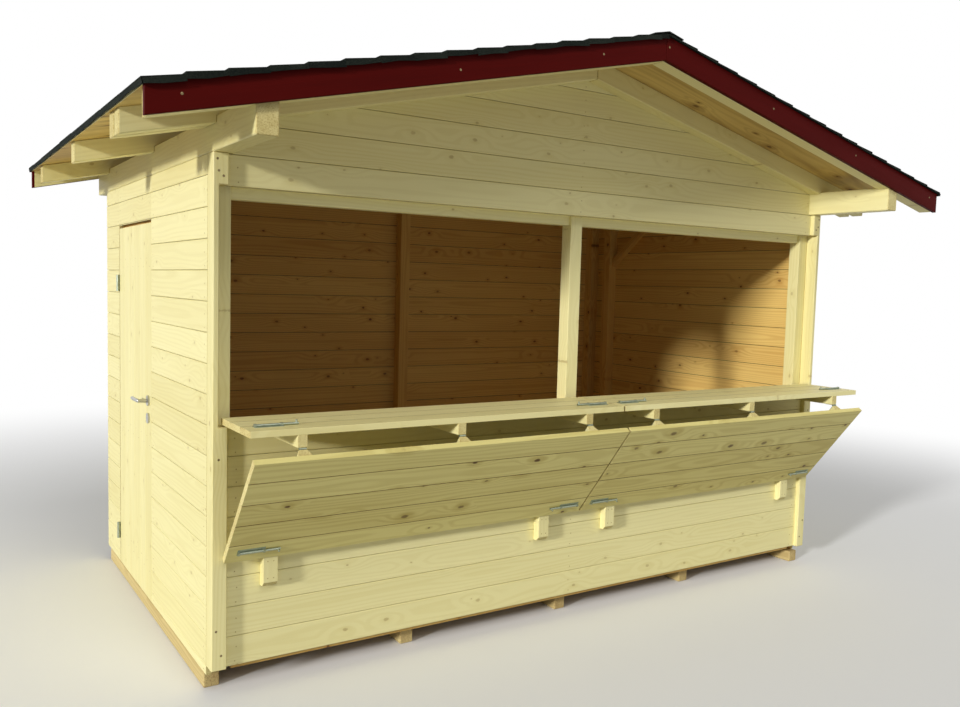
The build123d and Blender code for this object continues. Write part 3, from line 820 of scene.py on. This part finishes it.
# Posts, plates, rafters and other timbers keep the shapes of their solids.
painted = Timbers(cream, cream_end, seed=31)
painted_nodes = (
    "front_posts", "wall_plates", "outer_rafters", "fly_rafters", "front_rafters", "middle_rafters",
    "back_rafters",
)
for node in painted_nodes:
    painted.carry(node, timber_chamfer)
painted.build("painted_frame", "stall", painted_nodes, "painted_timber")


def stud_coat(middle):
    """The front corner studs show from outside, so they are painted."""
    return (2, 3) if middle.y < corner_depth else (0, 1)


natural = Timbers(pine, pine_end, cream, cream_end, seed=38)
natural.carry("wall_studs", stud_chamfer, coat=stud_coat)
natural_nodes = ("front_rails", "bottom_plates", "wall_brace", "door_header", "door_stops")
for node in natural_nodes:
    natural.carry(node, stud_chamfer)
natural.build("bare_frame", "stall", ("wall_studs", *natural_nodes), "natural_timber")

opening = Timbers(cream, cream_end, pine, seed=44)
opening.carry("centre_post", stud_chamfer)
opening.carry("head_beam", stud_chamfer, skin_of=lambda normal: 2 if normal.y > 0.5 else 0)
opening.build("opening_frame", "stall", ["centre_post", "head_beam"], "painted_timber")

bearers = Timbers(bearer_wood, bearer_end, seed=34)
bearers.carry("bearers", timber_chamfer)
bearers.build("bearer_timbers", "stall", ["bearers"], "bearer_timber")

# Barge boards: red all over, but cream on the inner faces of the back pair between the rafters' ends.
barges = Timbers(oxblood, oxblood, cream, seed=35)
barges.carry("front_barge_boards", stud_chamfer)
rafter_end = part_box("back_rafters")[1].x * X
inside = [(rafter_end, X), (-rafter_end, -X)]
barges.carry(
    "back_barge_boards", stud_chamfer, skin_of=lambda normal: 2 if normal.y < -0.9 else 0, cuts=inside
)
for place, way in inside:
    barges.carry("back_barge_boards", stud_chamfer, cuts=[(place, -way)])
barges.build("barge_boards", "stall", ["front_barge_boards", "back_barge_boards"], "barge_paint")

small = Timbers(cream, cream_end, seed=36)
small_nodes = ("counter_battens", "flap_battens", "wall_cleats")
for node in small_nodes:
    small.carry(node, batten_chamfer)
small.build("battens_and_cleats", "stall", small_nodes, "painted_timber")


def leaf_reach(low, high):
    """Where a leaf's boards start and end: the joint between the two leaves is a little open."""
    return (low.x + leaf_gap, high.x) if low.x > 0 else (low.x, high.x - leaf_gap)


# Shutters: counter leaves of three boards, and the leaning flaps of five.
leaves = Timbers(cream, cream_end, cream, joint_shade_wood, seed=41)
for low, high in solids_of("counter_leaves"):
    board = (high.y - low.y) / counter_board_count
    leaf_seams = [low.y + number * board for number in range(counter_board_count + 1)]
    lay_leaf(leaves, (X, Y, Z), leaf_seams, high.z, low.z, *leaf_reach(low, high))
leaves.build("counter_boards", "stall", ["counter_leaves"], "painted_leaves")

flap_out = largest_face("flap_leaves", -Y)
flap_down = X.cross(flap_out)
flap_corners = [vertex.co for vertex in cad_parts["flap_leaves"].data.vertices]
flap_start, flap_end = (pick(c.dot(flap_down) for c in flap_corners) for pick in (min, max))
flap_back, flap_face = (pick(c.dot(flap_out) for c in flap_corners) for pick in (min, max))
flap_seams = seams(flap_start, flap_end, first=flap_start + first_flap_board)
flaps = Timbers(leaf_cream, cream_end, leaf_cream, joint_shade_wood, seed=42)
for low, high in solids_of("flap_leaves"):
    lay_leaf(flaps, (X, flap_down, flap_out), flap_seams, flap_face, flap_back, *leaf_reach(low, high))
flaps.build("flap_boards", "stall", ["flap_leaves"], "painted_leaves")

# Door: upright boards on three ledges.
door_low, door_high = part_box("door_leaf")
door_seams = seams(door_low.y, door_high.y)
door = Timbers(*wall_skins, seed=51)
lay_boards(door, (Z, Y, X), door_seams, door_low.x, door_high.x, door_low.z, door_high.z)
door.build("door_boards", "door", ["door_leaf"], "painted_door")
ledges = Timbers(pine, pine_end, seed=52)
ledges.carry("door_ledges", stud_chamfer)
ledges.build("door_ledge_timbers", "door", ["door_ledges"], "natural_timber")

# Roof sheets, with joints over the rafters and the grain down the slope. The outermost cuts miss the roof.
joint_rafters = ("front_rafters", "middle_rafters", "back_rafters")
sheet_joints = [deck_low.y - 1, *(middle_of(node, 1) for node in joint_rafters), deck_high.y + 1]
for side, name in ((-1, "left"), (1, "right")):
    # The sheets' ends and cut edges take the cream paint: a painted highlight for their sunlit edge along
    # the eaves.
    sheets = Timbers(deck_wood, cream, seed=60 + side)
    for low, high in zip(sheet_joints, sheet_joints[1:]):
        saw_cuts = [((low + sheet_joint / 2) * Y, -Y), ((high - sheet_joint / 2) * Y, Y)]
        sheets.carry(f"roof_deck_{name}", sheet_chamfer, grain=downhill[side], cuts=saw_cuts)
    sheets.build(f"roof_sheets_{name}", "stall", [f"roof_deck_{name}"], "roof_boards")


def drooping(tiles, start, end, droop):
    """Outline of a felt strip that hangs over an edge, with a wavy foot."""
    count = max(2, round((end - start) / lip_step))
    foot = [
        (start + (end - start) * number / count, -tiles.random.uniform(*droop))
        for number in range(count + 1)
    ]
    return [(end, felt_bed), (start, felt_bed), *foot]


def shingle_slope(side, seed):
    """Felt on one slope: a bed, courses of tabs that are thick at the butt, and lips at its edges."""
    down = downhill[side]
    normal = Vector((side * math.sin(roof_angle), 0, math.cos(roof_angle)))
    ridge_line = deck_high.z * Z
    reach = (shingle_high.x - felt_butt * math.sin(roof_angle)) / math.cos(roof_angle)
    low, high = shingle_low.y, shingle_high.y
    tiles = Timbers(slate, slate, seed=seed)
    near, far = low + felt_inset, high - felt_inset
    bed_outline = [(near, 0), (far, 0), (far, felt_bed), (near, felt_bed)]
    tiles.prism(ridge_line, (down, Y, normal), bed_outline, felt_seat, reach - 2 * felt_seat)

    bottoms = [reach - row * course for row in range(math.ceil(reach / course))]
    for row, bottom in enumerate(bottoms):
        top = max(bottom - course - course_lap, felt_inset)
        if bottom - top < shortest_course:
            continue
        place = low - (tab_width / 2 if row % 2 else 0)
        while place < high:
            ragged = tiles.random.uniform(0, rag)
            near = max(place + tab_slot / 2, low + ragged)
            far = min(place + tab_width - tab_slot / 2, high - ragged)
            place += tab_width
            if far - near < narrowest_tab:
                continue
            butt = felt_butt - tiles.random.uniform(0, rag)
            foot = bottom - tiles.random.uniform(0, foot_rag)
            under, over = felt_bed - felt_seat, felt_bed + felt_skin
            corners = (
                (top, near, under), (top, far, under), (top, far, over), (top, near, over),
                (foot, near, under), (foot, far, under), (foot, far, butt), (foot, near, butt),
            )
            points = [ridge_line + down * fall + Y * along + normal * lift for fall, along, lift in corners]
            faces = [[0, 1, 2, 3], [4, 5, 6, 7], [0, 1, 5, 4], [2, 3, 7, 6], [1, 2, 6, 5], [0, 3, 7, 4]]
            tiles.piece(points, faces, [0] * 6, (Y, down, normal))

    # Lips at the rakes: drooping felt, and on the left slope a deeper dark strip that is painted shade for
    # the shadow under the felt.
    for start, end in zip([*bottoms[1:], felt_inset], bottoms):
        strip = drooping(tiles, start, end, rake_droop_and_shade[side])
        for edge in (low, high - lip_thickness):
            tiles.prism(ridge_line, (Y, down, normal), strip, edge, edge + lip_thickness)
    for number in range(math.ceil((high - low) / tab_width)):
        start = low + number * tab_width
        strip = drooping(tiles, start, min(start + tab_width, high), eave_droop)
        lip = reach - lip_thickness
        tiles.prism(ridge_line, (down, Y, normal), strip, lip, reach - felt_clearance)
    return tiles


shingle_slope(-1, seed=71).build("shingle_tabs_left", "stall", ["shingles_left"], "roof_felt")
shingle_slope(1, seed=72).build("shingle_tabs_right", "stall", ["shingles_right"], "roof_felt")

# Ridge: folded pieces of felt that lap each other from the front to the back.
cap_low, cap_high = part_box("ridge_cap")
cap_drop = cap_high.x * math.tan(roof_angle)
cap_rise = cap_high.z - cap_drop - cap_low.z
cap_step = (cap_high.y - cap_low.y) / ridge_pieces
ridge_felt = Timbers(slate, slate, seed=73)
for number in range(ridge_pieces):
    near = cap_low.y + number * cap_step
    far = min(near + cap_step + ridge_lap, cap_high.y)
    points = []
    for y, rise in ((near, cap_rise - felt_clearance), (far, ridge_tuck * cap_rise)):
        foot = cap_high.x - ridge_felt.random.uniform(0, rag)
        fall = foot * math.tan(roof_angle)
        base = cap_high.z - cap_rise
        points += [Vector((x, y, base - drop)) for x, drop in ((-foot, fall), (0, 0), (foot, fall))]
        points += [Vector((x, y, base - drop + rise)) for x, drop in ((foot, fall), (0, 0), (-foot, fall))]
    faces = tube(len(points) // 2)
    ridge_felt.piece(points, faces, [0] * len(faces), (X, Y, Z))
ridge_felt.build("ridge_felt", "stall", ["ridge_cap"], "roof_felt")

# Nails in the boards: two in each board on each stud.
nails = Timbers(nail_paint, seed=81)
nail_boards(nails, X, -Y, -wall_low.y, front_seams, front_rows)
nail_boards(nails, X, -Y, -gable_low.y, gable_seams, front_rows, nodes=["front_gable"])
nail_boards(nails, X, Y, back_high.y, back_seams, back_rows, nodes=back_nodes)
nail_boards(nails, Y, X, right_high.x, side_seams, right_rows)
for low, high, levels in left_parts:
    rows = [row for row in left_rows if low.y + row_margin < row < high.y - row_margin]
    if not rows:
        rows = [low.y + narrow_wall_inset, high.y - narrow_wall_inset]
    nail_boards(nails, Y, -X, -low.x, levels, rows)
for low, high in solids_of("wall_cleats"):
    for x in (low.x + cleat_nail_aside, high.x - cleat_nail_aside):
        for z in (low.z + cleat_nail_rise, high.z - cleat_nail_drop):
            drive(nails, (x, low.y, z), -Y, nail_radius, nail_height)
nails.build("wall_nails", "stall", [], "zinc_fittings")

# Nails in the door, into its ledges. The ends of the ledges give their levels.
door_nails = Timbers(nail_paint, seed=82)
ledge_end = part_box("door_ledges")[0].y + tolerance
ledge_corners = [vertex.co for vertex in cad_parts["door_ledges"].data.vertices]
ledge_edges = sorted({round(corner.z, 4) for corner in ledge_corners if corner.y < ledge_end})
ledge_levels = [(low + high) / 2 for low, high in zip(ledge_edges[::2], ledge_edges[1::2])]
for low, high in zip(door_seams, door_seams[1:]):
    for level in ledge_levels:
        for share, rise in ((0.25, -ledge_stagger), (0.75, ledge_stagger)):
            place = (door_low.x, low + share * (high - low), level + rise)
            drive(door_nails, place, -X, nail_radius, nail_height)
door_nails.build("door_nails", "door", [], "zinc_fittings")

# Screws: down the posts, and along the barge boards.
screws = Timbers(screw_steel, seed=83)
post_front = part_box("front_posts")[0].y
barge_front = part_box("front_barge_boards")[0].y
barge_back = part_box("back_barge_boards")[1].y
for side in (-1, 1):
    for x, z in post_screws:
        drive(screws, (side * x, post_front, z), -Y, screw_radius, screw_height)
for x, z in barge_screws:
    drive(screws, (x, barge_front, z), -Y, screw_radius, screw_height)
    drive(screws, (-x, barge_back, z), Y, screw_radius, screw_height)
screws.build("frame_screws", "stall", [], "zinc_fittings")


def sun(name, energy, spread, side, height):
    """A sun lamp. Side is its angle from the front to the left, and height that above the ground."""
    lamp = bpy.data.lights.new(name, "SUN")
    lamp.energy = energy
    lamp.angle = math.radians(spread)
    made = bpy.data.objects.new(name, lamp)
    side, height = math.radians(side), math.radians(height)
    source = Vector((-math.sin(side), -math.cos(side), math.tan(height)))
    made.rotation_mode = "QUATERNION"
    made.rotation_quaternion = (-source).to_track_quat("-Z", "Y")
    bpy.context.scene.collection.objects.link(made)


# Light: a low key from the left and a soft fill from the front, under an even sky.
sun("key", 2.6, spread=6, side=72.7, height=13.5)
sun("fill", 0.8, spread=30, side=2, height=50)

world = bpy.data.worlds.new("sky")
bpy.context.scene.world = world
sky = Shader(world)
sky.put(sky.surface.inputs["Color"], (1, 1, 1, 1))
sky.put(sky.surface.inputs["Strength"], sky.math("MULTIPLY_ADD", sky.seen(), 1 - sky_light, sky_light))

# A pale floor that fades to white.
rim = [(x, y, -floor_drop) for x, y in ring(floor_radius, floor_sides)]
floor_mesh = bpy.data.meshes.new("studio_floor")
floor_mesh.from_pydata(rim, [], [list(range(floor_sides))])
studio_floor = bpy.data.objects.new("studio_floor", floor_mesh)
bpy.context.scene.collection.objects.link(studio_floor)
ground = Shader(bpy.data.materials.new("studio_floor"))
seen = ground.seen()
ground.finish(ground.mix(seen, (0.5, 0.5, 0.49, 1), (0.86, 0.86, 0.85, 1)), 0.9, shine=0.1)
place = ground.tree.nodes.new("ShaderNodeTexCoord").outputs["Object"]
fade = ground.remap(ground.length(place), fade_start, fade_end)
glow = ground.tree.nodes.new("ShaderNodeEmission")
blend = ground.tree.nodes.new("ShaderNodeMixShader")
ground.put(blend.inputs[0], ground.times(fade, seen))
ground.put(blend.inputs[1], ground.surface.outputs[0])
ground.put(blend.inputs[2], glow.outputs[0])
output = next(n for n in ground.tree.nodes if n.type == "OUTPUT_MATERIAL")
ground.put(output.inputs["Surface"], blend.outputs[0])
floor_mesh.materials.append(ground.owner)

# Camera, turned by its heading, pitch and roll.
ahead = Vector((
    math.sin(heading) * math.cos(pitch), math.cos(heading) * math.cos(pitch), -math.sin(pitch)
))
level_right = Vector((math.cos(heading), -math.sin(heading), 0))
level_down = ahead.cross(level_right)
to_right = math.cos(roll) * level_right + math.sin(roll) * level_down
to_down = -math.sin(roll) * level_right + math.cos(roll) * level_down
lens = bpy.data.cameras.new("camera")
lens.lens = focal_length
lens.sensor_width = sensor_width
lens.sensor_fit = "HORIZONTAL"
lens.clip_end = 200
camera = bpy.data.objects.new("camera", lens)
turn = Matrix((to_right, -to_down, -ahead)).transposed().to_4x4()
camera.matrix_world = Matrix.Translation(eye) @ turn
bpy.context.scene.collection.objects.link(camera)
bpy.context.scene.camera = camera
bpy.context.scene.view_settings.view_transform = "Standard"

# CAD fittings keep their shapes and take their metals.
metals = {
    "shutter_hinges": zinc,
    "barrel_bolts": zinc,
    "door_hinges_frame_side": zinc,
    "door_hinges_leaf_side": zinc,
    "lever_handle": handle_metal,
    "lock_plates": handle_metal,
}
for node, metal in metals.items():
    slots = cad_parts[node].data.materials
    for index in range(len(slots)):
        slots[index] = metal
